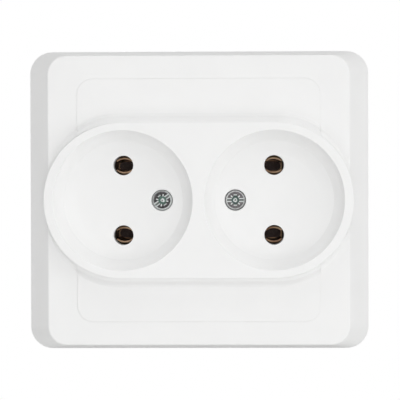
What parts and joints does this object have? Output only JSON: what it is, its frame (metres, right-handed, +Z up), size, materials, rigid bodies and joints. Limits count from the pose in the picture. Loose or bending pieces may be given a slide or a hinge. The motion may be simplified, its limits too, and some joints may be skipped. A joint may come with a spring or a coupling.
{
  "type": "double flush wall socket",
  "caption": "Flush double wall socket without earth: sloped frame, raised oval with two dished wells, pin holes and contact leaves, on a strap with spreading claws.",
  "frame": {"origin": "middle between the two box screws, on the wall plane", "axes": "+X to the right along the wall, +Z up, the front faces -Y and the mechanism reaches into the wall along +Y"},
  "size_m": [0.093, 0.0309, 0.0816],
  "materials": {
    "white_plastic": "satin",
    "dark_moulding": "matte",
    "insulator": "matte",
    "contact_brass": "rolled",
    "zinc_steel": "zinc plated",
    "screw_plating": "bright zinc plated"
  },
  "bodies": {
    "socket": {"support_strap": "zinc_steel", "base": "dark_moulding", "contact_cover": "insulator", "strap_rivets": "zinc_steel", "upper_contact_strip": "contact_brass", "lower_contact_strip": "contact_brass", "cover_nut_left": "zinc_steel", "cover_nut_right": "zinc_steel", "frame": "white_plastic", "front_insert": "white_plastic", "cover_screw_left": "screw_plating", "cover_screw_right": "screw_plating"},
    "terminal_clamp_upper_left": {"terminal_clamp_upper_left": "zinc_steel"},
    "terminal_screw_upper_left": {"terminal_screw_upper_left": "screw_plating"},
    "terminal_clamp_upper_right": {"terminal_clamp_upper_right": "zinc_steel"},
    "terminal_screw_upper_right": {"terminal_screw_upper_right": "screw_plating"},
    "terminal_clamp_lower_left": {"terminal_clamp_lower_left": "zinc_steel"},
    "terminal_screw_lower_left": {"terminal_screw_lower_left": "screw_plating"},
    "terminal_clamp_lower_right": {"terminal_clamp_lower_right": "zinc_steel"},
    "terminal_screw_lower_right": {"terminal_screw_lower_right": "screw_plating"},
    "claw_screw_left": {"claw_screw_left": "screw_plating"},
    "claw_nut_left": {"claw_nut_left": "zinc_steel"},
    "claw_left": {"claw_left": "zinc_steel"},
    "claw_screw_right": {"claw_screw_right": "screw_plating"},
    "claw_nut_right": {"claw_nut_right": "zinc_steel"},
    "claw_right": {"claw_right": "zinc_steel"}
  },
  "joints": [
    {"name": "terminal_lift_upper_left", "type": "slide", "parent": "socket", "child": "terminal_clamp_upper_left", "axis": [0, -1, 0], "range_m": [0, 0.0022]},
    {"name": "terminal_turn_upper_left", "type": "hinge", "parent": "terminal_clamp_upper_left", "child": "terminal_screw_upper_left", "pos_m": [-0.0046, 0, 0.0156], "axis": [0, -1, 0], "range_deg": [0, 1320]},
    {"name": "terminal_lift_upper_right", "type": "slide", "parent": "socket", "child": "terminal_clamp_upper_right", "axis": [0, -1, 0], "range_m": [0, 0.0022]},
    {"name": "terminal_turn_upper_right", "type": "hinge", "parent": "terminal_clamp_upper_right", "child": "terminal_screw_upper_right", "pos_m": [0.0046, 0, 0.0156], "axis": [0, -1, 0], "range_deg": [0, 1320]},
    {"name": "terminal_lift_lower_left", "type": "slide", "parent": "socket", "child": "terminal_clamp_lower_left", "axis": [0, -1, 0], "range_m": [0, 0.0022]},
    {"name": "terminal_turn_lower_left", "type": "hinge", "parent": "terminal_clamp_lower_left", "child": "terminal_screw_lower_left", "pos_m": [-0.0046, 0, -0.0156], "axis": [0, -1, 0], "range_deg": [0, 1320]},
    {"name": "terminal_lift_lower_right", "type": "slide", "parent": "socket", "child": "terminal_clamp_lower_right", "axis": [0, -1, 0], "range_m": [0, 0.0022]},
    {"name": "terminal_turn_lower_right", "type": "hinge", "parent": "terminal_clamp_lower_right", "child": "terminal_screw_lower_right", "pos_m": [0.0046, 0, -0.0156], "axis": [0, -1, 0], "range_deg": [0, 1320]},
    {"name": "claw_turn_left", "type": "hinge", "parent": "socket", "child": "claw_screw_left", "pos_m": [-0.0235, 0, 0], "axis": [0, 1, 0], "range_deg": [0, 2160]},
    {"name": "claw_draw_left", "type": "slide", "parent": "socket", "child": "claw_nut_left", "axis": [0, -1, 0], "range_m": [0, 0.0042]},
    {"name": "claw_spread_left", "type": "slide", "parent": "socket", "child": "claw_left", "axis": [-0.7071, -0.7071, 0], "range_m": [0, 0.00594]},
    {"name": "claw_turn_right", "type": "hinge", "parent": "socket", "child": "claw_screw_right", "pos_m": [0.0235, 0, 0], "axis": [0, 1, 0], "range_deg": [0, 2160]},
    {"name": "claw_draw_right", "type": "slide", "parent": "socket", "child": "claw_nut_right", "axis": [0, -1, 0], "range_m": [0, 0.0042]},
    {"name": "claw_spread_right", "type": "slide", "parent": "socket", "child": "claw_right", "axis": [0.7071, -0.7071, 0], "range_m": [0, 0.00594]}
  ],
  "couplings": [
    {"joint": "terminal_turn_upper_left", "follows": "terminal_lift_upper_left", "rad_per_m": 10472},
    {"joint": "terminal_turn_upper_right", "follows": "terminal_lift_upper_right", "rad_per_m": 10472},
    {"joint": "terminal_turn_lower_left", "follows": "terminal_lift_lower_left", "rad_per_m": 10472},
    {"joint": "terminal_turn_lower_right", "follows": "terminal_lift_lower_right", "rad_per_m": 10472},
    {"joint": "claw_turn_left", "follows": "claw_draw_left", "rad_per_m": 8975.9},
    {"joint": "claw_spread_left", "follows": "claw_draw_left", "ratio": 1.4142},
    {"joint": "claw_turn_right", "follows": "claw_draw_right", "rad_per_m": 8975.9},
    {"joint": "claw_spread_right", "follows": "claw_draw_right", "ratio": 1.4142}
  ]
}
